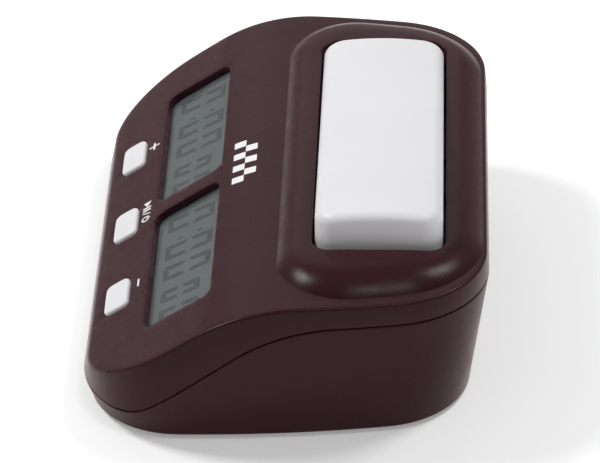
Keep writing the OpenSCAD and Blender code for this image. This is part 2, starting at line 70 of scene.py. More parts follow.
def make_camera():
    """Long lens on the clock's right side, looking along -X and down."""
    back = Vector((math.cos(HEADING)*math.cos(RISE), math.sin(HEADING)*math.cos(RISE), math.sin(RISE)))
    right = Vector((-math.sin(HEADING), math.cos(HEADING), 0))
    up = back.cross(right)
    turned_right = right*math.cos(ROLL) + up*math.sin(ROLL)
    turned_up = up*math.cos(ROLL) - right*math.sin(ROLL)
    camera = bpy.data.objects.new("camera", bpy.data.cameras.new("camera"))
    axes = Matrix((turned_right, turned_up, back)).transposed().to_4x4()
    camera.matrix_world = Matrix.Translation((CAMERA_AIM + back*CAMERA_AWAY)*MM) @ axes
    camera.data.lens, camera.data.sensor_width = LENS, SENSOR
    camera.data.clip_start, camera.data.clip_end = 0.05, 20
    bpy.context.scene.collection.objects.link(camera)
    bpy.context.scene.camera = camera


make_camera()

# --- Outlines of the shells: front corner x, y, radius, rear corner x, y, radius, side radius -------
SEAM = (50.9, -27, 26.8, 46.2, 24.9, 27.6, 300)
RIM = (53.8, -29.9, 22.6, 46.2, 24.9, 27, 298.7)
BASE = (50.2, -28.2, 24, 44.8, 22.5, 25.3, 320)
ISLAND = (52.1, 15.9, 18.5, 43.6, 25.6, 25.3, 200)
FRONT_STEPS, CORNER_STEPS, SIDE_STEPS, REAR_STEPS = 26, 20, 26, 22
WALL, ROOF, FLOOR = 2.2, 2.6, 2
RIM_EDGE, SEAM_EDGE, SEAM_GAP = 0.7, 0.3, 0.3


def grown(line, by):
    """The outline moved outward by a distance, or inward where it is negative."""
    a, b, c, d, e, f, g = line
    return (a, b, c + by, d, e, f + by, g + by)


def side_arc(line):
    """Centre of the bowed side's arc, and the angles at which it meets the two corner arcs."""
    front, rear = np.array(line[0:2]), np.array(line[3:5])
    ra, rb = line[6] - line[2], line[6] - line[5]
    gap = np.linalg.norm(rear - front)
    u = (rear - front)/gap
    along = (ra*ra - rb*rb + gap*gap)/(2*gap)
    centre = front + along*u + math.sqrt(ra*ra - along*along)*np.array((-u[1], u[0]))
    angles = [math.atan2(*(p - centre)[::-1]) for p in (front, rear)]
    return centre, angles[0], angles[1]


def arc(centre, radius, start, stop, steps):
    turn = np.linspace(start, stop, steps, endpoint=False)
    return np.stack([centre[0] + radius*np.cos(turn), centre[1] + radius*np.sin(turn)], 1)


def outline(line):
    """Closed loop of an outline, anticlockwise from the middle of its front edge."""
    centre, start, stop = side_arc(line)
    front_y, rear_y = line[1] - line[2], line[4] + line[5]
    front_x = np.linspace(0, line[0], FRONT_STEPS, endpoint=False)
    rear_x = np.linspace(line[3], 0, REAR_STEPS + 1)
    half = np.concatenate([
        np.stack([front_x, np.full(FRONT_STEPS, front_y)], 1),
        arc(line[0:2], line[2], -math.pi/2, start, CORNER_STEPS),
        arc(centre, line[6], start, stop, SIDE_STEPS),
        arc(line[3:5], line[5], stop, math.pi/2, CORNER_STEPS),
        np.stack([rear_x, np.full(REAR_STEPS + 1, rear_y)], 1),
    ])
    return np.concatenate([half, (half*(-1, 1))[-2:0:-1]])


def inset_depth(line, x, y):
    """How far each point lies inside an outline, negative outside."""
    x = np.abs(x)
    centre, start, stop = side_arc(line)
    depth = np.minimum(y - (line[1] - line[2]), (line[4] + line[5]) - y)
    depth = np.minimum(depth, line[6] - np.hypot(x - centre[0], y - centre[1]))
    corners = ((line[0:2], line[2], -math.pi/2, start), (line[3:5], line[5], stop, math.pi/2))
    for corner, radius, low, high in corners:
        turn = np.arctan2(y - corner[1], x - corner[0])
        near = (turn > low) & (turn < high)
        depth = np.where(near, np.minimum(depth, radius - np.hypot(x - corner[0], y - corner[1])), depth)
    return depth


# --- Heights along the depth ------------------------------------------------------------------------
PLATEAU_Z, PLATEAU_BEND = 41.8, 50
PANEL_Y, PANEL_Z, TILT = -37.4, 23.9, math.radians(33.9)
ISLAND_H, SHOULDER, SHOULDER_POWER = 3.7, 9.5, 2.7
# The island's low crown: its height, its line, its half width, where it fades, and its distance from the edge
CROWN_H, CROWN_Y, CROWN_HALF_W, CROWN_FADE, CROWN_INSET = 0.8, 23.8, 17.4, 1.4, 2
SEAM_Y, SEAM_Z, SEAM_TILT = -26.5, 17.8, math.radians(36)
SEAM_FRONT_Z, SEAM_FRONT_BEND = 8, 18
SEAM_REAR_Z, SEAM_REAR_BEND = 35.9, 45


def bend_down(y, y0, z0, tilt, z1, radius):
    """Height of a line through (y0, z0) that rises at tilt and bends level at z1."""
    start = y0 + (z1 - z0)/math.tan(tilt) + radius*math.tan(tilt/2)
    t = np.clip((start - y)/radius, 0, math.sin(tilt))
    return np.where((start - y)/radius >= math.sin(tilt), z0 + (y - y0)*math.tan(tilt),
                    z1 - radius*(1 - np.sqrt(1 - t*t)))


def rim_height(y):
    return bend_down(y, PANEL_Y, PANEL_Z, TILT, PLATEAU_Z, PLATEAU_BEND)


def seam_height(y):
    rear = bend_down(y, SEAM_Y, SEAM_Z, SEAM_TILT, SEAM_REAR_Z, SEAM_REAR_BEND)
    level = 2*SEAM_Z - SEAM_FRONT_Z
    front = 2*SEAM_Z - bend_down(2*SEAM_Y - y, SEAM_Y, SEAM_Z, SEAM_TILT, level, SEAM_FRONT_BEND)
    return np.where(y > SEAM_Y, rear, front)


def below_seam(drop):
    """Height at a distance below the seam, as a function of x and y."""
    return lambda x, y: seam_height(y) - drop


def top_height(x, y):
    """Height of the clock's top: panel, plateau, and the island with its round shoulder and crown."""
    inset = inset_depth(ISLAND, x, y)
    shoulder = 1 - (1 - np.clip(inset/SHOULDER, 0, 1))**SHOULDER_POWER
    across = smooth_step(CROWN_FADE - np.abs(y - CROWN_Y)/CROWN_HALF_W)
    crown = across*smooth_step((inset - CROWN_INSET)/SHOULDER)
    return rim_height(y) + ISLAND_H*shoulder + CROWN_H*crown


def smooth_step(t):
    t = np.clip(t, 0, 1)
    return t*t*(3 - 2*t)


def panel_height(y, n):
    """Height of the display panel's plane, moved n out of it."""
    return PANEL_Z + (y - PANEL_Y)*math.tan(TILT) + n/math.cos(TILT)


def on_panel(points, n):
    """Points (u across, v up the slope) on the display panel, at distance n out of it."""
    points = np.asarray(points, float)
    u, v = points[:, 0], points[:, 1]
    n = np.broadcast_to(n, u.shape)
    return np.stack([u, PANEL_Y + v*math.cos(TILT) - n*math.sin(TILT),
                     PANEL_Z + v*math.sin(TILT) + n*math.cos(TILT)], 1)


def lifted(points, height):
    """Plan points given a height, which is a number or a function of x and y."""
    points = np.asarray(points, float)
    z = height(points[:, 0], points[:, 1]) if callable(height) else np.full(len(points), float(height))
    return np.column_stack([points[:, :2], z])


# --- Mesh building ----------------------------------------------------------------------------------
SHARP_ANGLE = math.radians(32)


def rounded_rect(centre, w, l, radius, steps=8, along=(1, 1)):
    """Closed anticlockwise loop of a rectangle with round corners and split sides."""
    loop = []
    corners = ((1, 1, 0), (-1, 1, 90), (-1, -1, 180), (1, -1, 270))
    for i, (sx, sy, turn) in enumerate(corners):
        middle = (centre[0] + sx*(w/2 - radius), centre[1] + sy*(l/2 - radius))
        turn = math.radians(turn)
        points = arc(middle, radius, turn, turn + math.pi/2*(1 + 1/steps), steps + 1)
        loop.append(points)
        nx, ny, _ = corners[(i + 1) % 4]
        following = np.array((centre[0] + nx*(w/2 - radius), centre[1] + ny*(l/2 - radius)))
        following += radius*np.array((math.cos(turn + math.pi/2), math.sin(turn + math.pi/2)))
        count = along[i % 2]
        for k in range(1, count):
            loop.append((points[-1] + (following - points[-1])*k/count)[None])
    return np.concatenate(loop)


def circle(centre, radius, steps=24):
    return arc(centre, radius, 0, 2*math.pi, steps)


def rounded(inner, corner, outer, steps=5):
    """Loops that lead from one loop to another round the edge where a corner loop would be."""
    loops = []
    for i in range(steps + 1):
        t = i/steps
        a, b, c = (1 - t)**2, math.sqrt(2)*t*(1 - t), t*t
        loops.append((a*inner + b*corner + c*outer)/(a + b + c))
    return loops


def toward(start, goal, distance):
    """Each point of a loop moved a distance toward the matching point of another."""
    way = goal - start
    return start + way*distance/np.linalg.norm(way, axis=1)[:, None]


def within(loop, points):
    """Which plan points lie inside a closed loop."""
    x, y = points[:, 0][:, None], points[:, 1][:, None]
    ax, ay = loop[:, 0][None], loop[:, 1][None]
    bx, by = np.roll(ax, -1), np.roll(ay, -1)
    crosses = (ay > y) != (by > y)
    slope = np.where(by == ay, 1, by - ay)
    return (np.where(crosses, x < (bx - ax)*(y - ay)/slope + ax, False)).sum(1) % 2 == 1


class Shell:
    """Points and faces of one closed mesh, in millimetres."""

    def __init__(self):
        self.points, self.faces = [], []

    def loop(self, points):
        start = len(self.points)
        self.points += [tuple(map(float, p)) for p in points]
        return list(range(start, len(self.points)))

    def skin(self, *loops):
        """Bands of quads from each loop to the next. A loop is points, or numbers of points made before."""
        rows = [row if isinstance(row, list) else self.loop(row) for row in loops]
        for low, high in zip(rows, rows[1:]):
            for i in range(len(low)):
                j = (i + 1) % len(low)
                self.faces.append((low[i], low[j], high[j], high[i]))
        return rows

    def cap(self, row):
        self.faces.append(tuple(row))

    def fill(self, outer, holes, height, marks=(), spacing=3.0):
        """Triangles over the plan area between an outer row and hole rows, with more points on a grid."""
        rows = [outer, *holes]
        at = np.array(self.points)
        numbers = [n for row in rows for n in row]
        plan = [at[n, :2] for n in numbers]
        edges, start = [], 0
        for row in rows:
            edges += [(start + i, start + (i + 1) % len(row)) for i in range(len(row))]
            start += len(row)
        borders = [at[row][:, :2] for row in rows]
        for mark in marks:
            plan += list(mark[:, :2])
            edges += [(start + i, start + (i + 1) % len(mark)) for i in range(len(mark))]
            start += len(mark)
        fixed = np.array(plan)
        low, high = borders[0].min(0), borders[0].max(0)
        gx, gy = np.meshgrid(np.arange(low[0] + spacing/2, high[0], spacing),
                             np.arange(low[1] + spacing/2, high[1], spacing*0.87))
        gx[1::2] += spacing/2
        grid = np.column_stack([gx.ravel(), gy.ravel()])
        inside = within(borders[0], grid)
        for border in borders[1:]:
            inside &= ~within(border, grid)
        grid = grid[inside]
        room = np.array([((fixed - g)**2).sum(1).min() for g in grid]) if len(grid) else np.zeros(0)
        grid = grid[room > (0.6*spacing)**2]
        every = [Vector(p) for p in np.concatenate([fixed, grid])]
        made, _, triangles, origins, _, _ = delaunay_2d_cdt(every, edges, [], 0, 1e-5)
        made = np.array(made)
        numbers_of = {}
        fresh = []
        for i, source in enumerate(origins):
            known = [s for s in source if s < len(numbers)]
            if known:
                numbers_of[i] = numbers[known[0]]
            else:
                fresh.append(i)
        rows_made = self.loop(lifted(made[fresh], height)) if fresh else []
        numbers_of.update(zip(fresh, rows_made))
        middles = made[np.array([t[:3] for t in triangles])].mean(1)
        keep = within(borders[0], middles)
        for border in borders[1:]:
            keep &= ~within(border, middles)
        self.faces += [tuple(numbers_of[v] for v in t) for t, k in zip(triangles, keep) if k]


def finish_mesh(name, points, faces):
    """One object from points in millimetres, with its faces turned outward and its shading smooth."""
    mesh = bpy.data.meshes.new(name)
    mesh.from_pydata([tuple(c*MM for c in p) for p in points], [], faces)
    work = bmesh.new()
    work.from_mesh(mesh)
    bmesh.ops.recalc_face_normals(work, faces=work.faces)
    for face in work.faces:
        face.smooth = True
    work.to_mesh(mesh)
    work.free()
    mesh.set_sharp_from_angle(angle=SHARP_ANGLE)
    piece = bpy.data.objects.new(name, mesh)
    bpy.context.scene.collection.objects.link(piece)
    return piece


def place(piece, slot, body="housing", stands_for=(), look=None):
    """Material and body of a finished piece, with the CAD nodes it stands for hidden. Its look is its slot's,
    unless another is named.
    """
    piece.data.materials.clear()
    piece.data.materials.append(material_for(look or slot))
    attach(piece, body)
    if stands_for:
        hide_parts(*stands_for)


# --- Materials --------------------------------------------------------------------------------------
NOISE_REACH = (0.3, 0.7)
CLOUD, GLOSS_CLOUD, GLOSS_SWING = 26, 7, 0.05
SHEEN_ROUGHNESS, SHEEN_TINT = 0.45, (1, 0.5, 0.58, 1)


class Nodes:
    """Short calls for building one material's node tree."""

    def __init__(self, name):
        self.material = bpy.data.materials.new(name)
        self.material.use_nodes = True
        self.tree = self.material.node_tree
        self.shader = self.tree.nodes["Principled BSDF"]
        self.place = self.tree.nodes.new("ShaderNodeTexCoord").outputs["Object"]

    def link(self, source, target):
        self.tree.links.new(source, target)

    def noise(self, period, detail=3):
        """Noise of a given period in millimetres."""
        node = self.tree.nodes.new("ShaderNodeTexNoise")
        node.inputs["Scale"].default_value = 1/(period*MM)
        node.inputs["Detail"].default_value = detail
        self.link(self.place, node.inputs["Vector"])
        return node.outputs["Fac"]

    def ramp(self, source, low, high):
        """Colour between low and high as noise goes over its usual reach."""
        node = self.tree.nodes.new("ShaderNodeValToRGB")
        for element, at, colour in zip(node.color_ramp.elements, NOISE_REACH, (low, high)):
            element.position = at
            element.color = (*colour, 1)
        self.link(source, node.inputs["Fac"])
        return node.outputs["Color"]

    def span(self, source, low, high):
        """A value between low and high as noise goes over its usual reach."""
        node = self.tree.nodes.new("ShaderNodeMapRange")
        for socket, value in zip(("From Min", "From Max", "To Min", "To Max"), (*NOISE_REACH, low, high)):
            node.inputs[socket].default_value = value
        self.link(source, node.inputs["Value"])
        return node.outputs["Result"]

    def bump(self, source, depth, strength=1.0, under=None):
        """Relief of a given depth in millimetres."""
        node = self.tree.nodes.new("ShaderNodeBump")
        node.inputs["Strength"].default_value = strength
        node.inputs["Distance"].default_value = depth*MM
        self.link(source, node.inputs["Height"])
        if under is not None:
            self.link(under, node.inputs["Normal"])
        return node.outputs["Normal"]

    def set(self, **values):
        for name, value in values.items():
            self.shader.inputs[name.replace("_", " ")].default_value = value


def moulded(name, colour, shade, rough, grain=0.45, depth=0.012, specular=0.5, metal=0, sheen=0):
    """Moulded plastic, rubber or metal: faint clouds of colour, a fine grain and uneven gloss."""
    m = Nodes(name)
    m.link(m.ramp(m.noise(CLOUD, 4), shade, colour), m.shader.inputs["Base Color"])
    gloss = m.span(m.noise(GLOSS_CLOUD, 5), rough - GLOSS_SWING, rough + GLOSS_SWING)
    m.link(gloss, m.shader.inputs["Roughness"])
    coarse = m.bump(m.noise(CLOUD/5, 2), depth*2, 0.4)
    m.link(m.bump(m.noise(grain, 2), depth, 1.0, coarse), m.shader.inputs["Normal"])
    m.set(Metallic=metal, Specular_IOR_Level=specular)
    if sheen:
        m.set(Sheen_Weight=sheen, Sheen_Roughness=SHEEN_ROUGHNESS, Sheen_Tint=SHEEN_TINT)
    return m.material


def clear_pane(name):
    """Clear acrylic with a trace of haze."""
    m = Nodes(name)
    m.link(m.ramp(m.noise(20), (0.93, 0.95, 0.95), (0.98, 0.99, 0.99)), m.shader.inputs["Base Color"])
    m.link(m.span(m.noise(9), 0.02, 0.07), m.shader.inputs["Roughness"])
    m.link(m.bump(m.noise(30, 1), 0.01), m.shader.inputs["Normal"])
    m.set(Transmission_Weight=1, IOR=1.49)
    return m.material


def display_film(name, colour, shade):
    """Grey reflective film of a liquid crystal display, with the fine sparkle of its diffuser."""
    m = Nodes(name)
    m.link(m.ramp(m.noise(14, 3), shade, colour), m.shader.inputs["Base Color"])
    m.link(m.span(m.noise(3), 0.42, 0.56), m.shader.inputs["Roughness"])
    m.link(m.bump(m.noise(0.25, 1), 0.004), m.shader.inputs["Normal"])
    m.set(Specular_IOR_Level=0.4)
    return m.material


# Moulded looks: colour, its darker shade, roughness, and what differs from the defaults of moulded()
MOULDED = {
    "housing_plastic": ((0.030, 0.0072, 0.0096), (0.026, 0.0063, 0.0085), 0.27,
                        {"depth": 0.025, "specular": 0.12, "sheen": 0.12}),
    "white_plastic": ((0.74, 0.73, 0.75), (0.72, 0.71, 0.73), 0.42, {"grain": 0.8, "depth": 0.004}),
    "printed_white": ((0.86, 0.85, 0.86), (0.80, 0.79, 0.80), 0.5, {"grain": 0.3, "depth": 0.004}),
    "steel": ((0.60, 0.60, 0.62), (0.50, 0.50, 0.52), 0.28, {"grain": 0.3, "depth": 0.003, "metal": 1}),
    # Near-black steel of the rocker's pin: painted shade, which keeps the gap round the rocker dark
    "pin_steel_painted_shade": ((0.045, 0.045, 0.05), (0.03, 0.03, 0.034), 0.4,
                   {"grain": 0.3, "depth": 0.003, "metal": 1}),
    "rubber": ((0.022, 0.022, 0.023), (0.015, 0.015, 0.016), 0.78,
               {"grain": 0.5, "depth": 0.02, "specular": 0.3}),
    "circuit_board": ((0.020, 0.130, 0.050), (0.012, 0.085, 0.034), 0.38, {"grain": 0.6, "depth": 0.01}),
    "black_plastic": ((0.020, 0.019, 0.021), (0.013, 0.012, 0.014), 0.5, {}),
    "plunger_plastic": ((0.55, 0.50, 0.42), (0.48, 0.43, 0.36), 0.4, {}),
    "zebra_rubber": ((0.50, 0.22, 0.27), (0.40, 0.16, 0.20), 0.6, {}),
    "capacitor_sleeve": ((0.02, 0.03, 0.16), (0.015, 0.022, 0.12), 0.35, {}),
    "battery_jacket": ((0.035, 0.035, 0.04), (0.025, 0.025, 0.03), 0.3, {}),
    "red_wire": ((0.42, 0.03, 0.03), (0.35, 0.02, 0.02), 0.45, {}),
    "black_wire": ((0.03, 0.03, 0.03), (0.02, 0.02, 0.02), 0.45, {}),
    "grey_wire": ((0.50, 0.50, 0.50), (0.42, 0.42, 0.42), 0.45, {}),
}
# Looks of the display's layers: colour and its darker shade
FILMS = {
    "lcd_glass": ((0.50, 0.52, 0.52), (0.46, 0.48, 0.48)),
    "display_film": ((0.150, 0.177, 0.188), (0.139, 0.165, 0.176)),
    "display_digits": ((0.040, 0.052, 0.053), (0.036, 0.047, 0.048)),
}
made_materials = {}


def material_for(look):
    """The material of a look, made when it is first asked for."""
    if look not in made_materials:
        name = "look_" + look
        if look in MOULDED:
            colour, shade, rough, others = MOULDED[look]
            made_materials[look] = moulded(name, colour, shade, rough, **others)
        elif look in FILMS:
            made_materials[look] = display_film(name, *FILMS[look])
        else:
            made_materials[look] = clear_pane(name)
    return made_materials[look]


# --- Shells -----------------------------------------------------------------------------------------
WINDOW_EDGE = 0.25
lens_low, lens_high = box_mm("right_lens")
LENS_MARGIN, LENS_T, LENS_N = 1.5, 0.85, -1.7
WINDOW_W = lens_high[0] - lens_low[0] - 2*LENS_MARGIN
WINDOW_GAP = lens_low[0] + LENS_MARGIN
WINDOW_L = (lens_high[1] - lens_low[1] - LENS_T*math.sin(TILT))/math.cos(TILT) - 2*LENS_MARGIN
key_low, key_high = box_mm("play_button")
BUTTON_W = key_high[0] - key_low[0] - 2
BUTTON_L, BUTTON_V = 7.5, -10
BUTTON_PITCH = box_mm("minus_button")[0][0] - key_low[0]
BUTTON_PLAY = 0.25
pin_low, pin_high = box_mm("rocker_pin")
WELL_Y = (pin_low[1] + pin_high[1])/2
PIN_Z = (pin_low[2] + pin_high[2])/2
WELL_W = pin_high[1] - pin_low[1] - 6
WELL_L, WELL_CORNER, WELL_FLOOR, WELL_WALL = 107.8, 5.6, 34, 2
POST_X, POST_HOLE = 38, 3.4
INWARD = np.array((0, math.sin(TILT), -math.cos(TILT)))
SEAT_MARGIN, SEAT_STEP = 1.6, 0.3
# How far in from the island's edge its surface is given points, and the hollow under it: height, inset, width
ISLAND_MARKS = (0, 0.5, 1.2, 2.2, 3.4, 4.6, 5.8, 7)
HOLLOW_H, HOLLOW_INSET, HOLLOW_W = 3.3, 3.6, 2
BUTTON_HOLE_R, BUTTON_HOLE_EDGE = 2.2, 0.35
WELL_EDGE = 0.5


def window(side, extra=0, radius=3):
    """Outline of a display window on the panel, made larger by extra all round."""
    centre = (side*(WINDOW_GAP + WINDOW_W/2), WINDOW_L/2)
    return rounded_rect(centre, WINDOW_W + 2*extra, WINDOW_L + 2*extra, radius + extra, along=(24, 10))


def well(extra=0):
    """Plan outline of the rocker's well, made larger by extra all round."""
    return rounded_rect((0, WELL_Y), WELL_L + 2*extra, WELL_W + 2*extra, WELL_CORNER + extra, along=(44, 12))


def underside(x, y):
    """Height of the roof's inner face, with its rise under the island and the flat seats of the lenses."""
    rise = HOLLOW_H*smooth_step((inset_depth(ISLAND, x, y) - HOLLOW_INSET)/HOLLOW_W)
    roof = rim_height(y) - ROOF + rise
    v = (y - PANEL_Y + LENS_N*math.sin(TILT))/math.cos(TILT)
    across = np.abs(np.abs(x) - WINDOW_GAP - WINDOW_W/2) - WINDOW_W/2 - SEAT_MARGIN
    along = np.abs(v - WINDOW_L/2) - WINDOW_L/2 - SEAT_MARGIN
    step = np.clip(np.maximum(across, along)/SEAT_STEP, 0, 1)
    return panel_height(y, LENS_N)*(1 - step) + roof*step


def build_top_housing():
    """The upper shell: sloping panel, plateau, island, side wall, windows, button holes and rocker well."""
    shell = Shell()
    rim = lifted(outline(RIM), top_height)
    seam = lifted(outline(SEAM), below_seam(0))
    seam_in = lifted(outline(grown(SEAM, -SEAM_EDGE)), below_seam(0))
    rows = shell.skin(
        *rounded(lifted(outline(grown(RIM, -RIM_EDGE)), top_height), rim, toward(rim, seam, RIM_EDGE)),
        *rounded(toward(seam, rim, SEAM_EDGE), seam, seam_in, 3),
        lifted(outline(grown(SEAM, -WALL)), below_seam(0)),
        lifted(outline(grown(SEAM, -WALL)), below_seam(-1.2)),
        lifted(outline(grown(RIM, -WALL)), underside),
    )
    top_rows, under_rows = [rows[0]], [rows[-1]]
    seats = []
    marks = [outline(grown(ISLAND, -inset)) for inset in ISLAND_MARKS]

    def button_hole(spot, extra):
        more = 2*(BUTTON_PLAY + extra)
        return rounded_rect((spot*BUTTON_PITCH, BUTTON_V), BUTTON_W + more, BUTTON_L + more,
                            BUTTON_HOLE_R + extra, along=(6, 4))

    def opening(loop, edge, bottom):
        """A hole through the panel whose outline is loop(0), with a round edge at its top."""
        corner = lifted(on_panel(loop(0), 0), top_height)
        around = lifted(on_panel(loop(edge), 0), top_height)
        made = shell.skin(*rounded(around, corner, corner + INWARD*edge), on_panel(loop(0), bottom))
        top_rows.append(made[0])
        under_rows.append(made[-1])

    for side in (-1, 1):
        opening(lambda extra: window(side, extra), WINDOW_EDGE, LENS_N)
        for extra in (SEAT_MARGIN, SEAT_MARGIN + SEAT_STEP):
            seats.append(on_panel(window(side, extra, 0.5), LENS_N))
    for spot in (-1, 0, 1):
        opening(lambda extra: button_hole(spot, extra), BUTTON_HOLE_EDGE, -ROOF*math.cos(TILT))

    mouth = lifted(well(), top_height)
    lower = mouth - (0, 0, WELL_EDGE)
    made = shell.skin(*rounded(lifted(well(WELL_EDGE), top_height), mouth, lower), lifted(well(), WELL_FLOOR))
    top_rows.append(made[0])
    levels = (WELL_FLOOR, WELL_FLOOR - WELL_WALL)
    rims = [circle((x, WELL_Y), POST_HOLE) for x in (-POST_X, POST_X)]
    posts = [shell.skin(*(lifted(hole, z) for z in levels)) for hole in rims]
    shell.fill(made[-1], [p[0] for p in posts], WELL_FLOOR, spacing=8)
    box = shell.skin(lifted(well(WELL_WALL), WELL_FLOOR - WELL_WALL), lifted(well(WELL_WALL), underside))
    shell.fill(box[0], [p[1] for p in posts], WELL_FLOOR - WELL_WALL, spacing=8)
    under_rows.append(box[1])
    shell.fill(top_rows[0], top_rows[1:], top_height, marks, spacing=1.7)
    inner_marks = [*seats, outline(grown(ISLAND, -HOLLOW_INSET))]
    shell.fill(under_rows[0], under_rows[1:], underside, inner_marks, spacing=4)
    place(finish_mesh("top_housing_shell", shell.points, shell.faces), "housing_plastic",
          stands_for=["top_housing"])


# Locating lip: insets of its two faces, its height above the seam, and how far below the seam its inner face
# ends and the wall's inner face begins
LIP_OUT, LIP_IN, LIP_H, LIP_ROOT, WALL_TOP = 2.5, 3.6, 1, 2.2, 3.6
# Screw bosses: place at the right and top of each, then their radii and the height of the screw's seat
BOSSES = ((66.5, -30, 11.9), (62.5, 28, 17.9))
BOSS_R, HEAD_R, SCREW_R, HEAD_Z, LEAD_IN = 3.6, 3.2, 1.6, 6, 0.3
FEET, FOOT_R, FOOT_RECESS = ((58, -38), (50, 34)), 4.6, 0.5
DOOR_W, DOOR_L, DOOR_Z = 54, 16.3, 3.5
BAY_W, BAY_L, BAY_Z, BAY_WALL, BAY_SHIFT = 58, 16.4, 13.2, 1.5, 0.2
# Buzzer collar: its middle, radii and top, and the ring of sound holes inside it
SOUND = np.array((-42, -6))
COLLAR_R, COLLAR_BORE, COLLAR_Z = 10.4, 9.15, 5.7
HOLE_R, HOLE_LEAD_IN, HOLE_RING_R, HOLES = 0.9, 0.15, 4, 6


def build_bottom_housing():
    """The lower shell: side wall with a locating lip, floor, battery bay, screw bosses and buzzer collar."""
    shell = Shell()
    floor_z = FOOT_H + FLOOR
    seam = lifted(outline(SEAM), below_seam(SEAM_GAP))
    seam_in = lifted(outline(grown(SEAM, -0.5)), below_seam(SEAM_GAP))
    foot = lifted(outline(BASE), FOOT_H + 1)
    lip, lip_in = outline(grown(SEAM, -LIP_OUT)), outline(grown(SEAM, -LIP_IN))
    rows = shell.skin(
        *rounded(lifted(outline(grown(BASE, -1)), FOOT_H), lifted(outline(BASE), FOOT_H), foot),
        *rounded(toward(seam, foot, 0.5), seam, seam_in, 4),
        lifted(lip, below_seam(SEAM_GAP)), lifted(lip, below_seam(-LIP_H)),
        lifted(lip_in, below_seam(-LIP_H)), lifted(lip_in, below_seam(LIP_ROOT)),
        lifted(outline(grown(SEAM, -WALL)), below_seam(WALL_TOP)),
        lifted(outline(grown(BASE, -WALL)), floor_z),
    )
    under, inner = [rows[0]], [rows[-1]]

    def through(*loops):
        """An opening that leads from the outside of the floor to its inside."""
        made = shell.skin(*loops)
        under.append(made[0])
        inner.append(made[-1])

    for side in (-1, 1):
        for x, y, top in BOSSES:
            through(*(lifted(circle((side*x, y), r), z) for r, z in (
                (HEAD_R + LEAD_IN, FOOT_H), (HEAD_R, FOOT_H + LEAD_IN), (HEAD_R, HEAD_Z), (SCREW_R, HEAD_Z),
                (SCREW_R, top), (BOSS_R, top), (BOSS_R, floor_z))))
        for x, y in FEET:
            heights = (FOOT_H, FOOT_H + FOOT_RECESS)
            made = shell.skin(*(lifted(circle((side*x, y), FOOT_R, 32), z) for z in heights))
            under.append(made[0])
            shell.cap(made[-1])
    bay = (0, WELL_Y + BAY_SHIFT)
    wall_w, wall_l = BAY_W + 2*BAY_WALL, BAY_L + 2*BAY_WALL
    through(*(lifted(rounded_rect(bay, w, l, r, 3, (12, 4)), z) for w, l, r, z in (
        (DOOR_W + 0.4, DOOR_L + 0.4, 1.2, FOOT_H), (DOOR_W, DOOR_L, 1, FOOT_H + 0.2),
        (DOOR_W, DOOR_L, 1, DOOR_Z), (BAY_W, BAY_L, 0.5, DOOR_Z), (BAY_W, BAY_L, 0.5, BAY_Z),
        (wall_w, wall_l, 1, BAY_Z), (wall_w, wall_l, 1, floor_z))))
    collar = shell.skin(*(lifted(circle(SOUND, r), z) for r, z in (
        (COLLAR_R, floor_z), (COLLAR_R, COLLAR_Z), (COLLAR_BORE, COLLAR_Z), (COLLAR_BORE, floor_z))))
    inner.append(collar[0])
    turns = np.arange(HOLES)*2*math.pi/HOLES
    spots = [SOUND] + [SOUND + HOLE_RING_R*np.array((math.cos(t), math.sin(t))) for t in turns]
    steps = ((HOLE_R + HOLE_LEAD_IN, FOOT_H), (HOLE_R, FOOT_H + HOLE_LEAD_IN), (HOLE_R, floor_z))
    holes = [shell.skin(*(lifted(circle(spot, r, 14), z) for r, z in steps)) for spot in spots]
    under += [hole[0] for hole in holes]
    shell.fill(collar[-1], [hole[-1] for hole in holes], floor_z, spacing=5)
    shell.fill(under[0], under[1:], FOOT_H, spacing=7)
    shell.fill(inner[0], inner[1:], floor_z, spacing=7)
    place(finish_mesh("bottom_housing_shell", shell.points, shell.faces), "housing_plastic",
          stands_for=["bottom_housing"])


build_top_housing()
build_bottom_housing()


def softened(node, slot, radius, body="housing", look=None):
    """A copy of a CAD node with its flat faces whole again and its sharp edges rounded off."""
    work = bmesh.new()
    work.from_mesh(frame["nodes"][node].data)
    bmesh.ops.remove_doubles(work, verts=work.verts, dist=1e-6)
    bmesh.ops.dissolve_limit(work, angle_limit=math.radians(1), verts=work.verts, edges=work.edges)
    edges = [e for e in work.edges if e.is_manifold and e.calc_face_angle() > math.radians(35)]
    bmesh.ops.bevel(work, geom=edges, offset=radius*MM, segments=3, profile=0.5, affect="EDGES",
                    clamp_overlap=True)
    points = [v.co/MM for v in work.verts]
    work.verts.index_update()
    faces = [[v.index for v in f.verts] for f in work.faces]
    work.free()
    place(finish_mesh(node + "_part", points, faces), slot, body, [node], look)


softened("battery_door", "housing_plastic", 0.25, "battery_door")
softened("housing_screws", "steel", 0.12)
softened("rubber_feet", "rubber", 0.3)
# The pin's near-black look is painted shade: it keeps the lit pin from showing in the gap round the rocker.
softened("rocker_pin", "steel", 0.2, look="pin_steel_painted_shade")


# --- Rocker -----------------------------------------------------------------------------------------
ROCKER_L, ROCKER_W, ROCKER_TOP, ROCKER_H = 104.6, 33.2, 51.8, 14.3
ROCKER_CORNER, ROCKER_WALL, ROCKER_ROOF, ROCKER_EDGE = 6, 2, 3.4, 2.4
ROCKER_CROWN_R, ROCKER_CROWN_DROP = 90, 0.02
# How far in from its sides the rocker's top is given points
ROCKER_INSETS = (3.4, 5, 7, 9, 11, 13, 15)
ROCKER_SWING = next(joint for joint in frame["joints"] if joint["child"] == "rocker")["range_deg"][1]


def rocker_loop(inset, z):
    """Outline of the rocker at a height, which is a number or a function of x and y."""
    radius = max(ROCKER_CORNER - inset, 0.4)
    return lifted(rounded_rect((0, 0), ROCKER_L - 2*inset, ROCKER_W - 2*inset, radius, 10, (40, 14)), z)


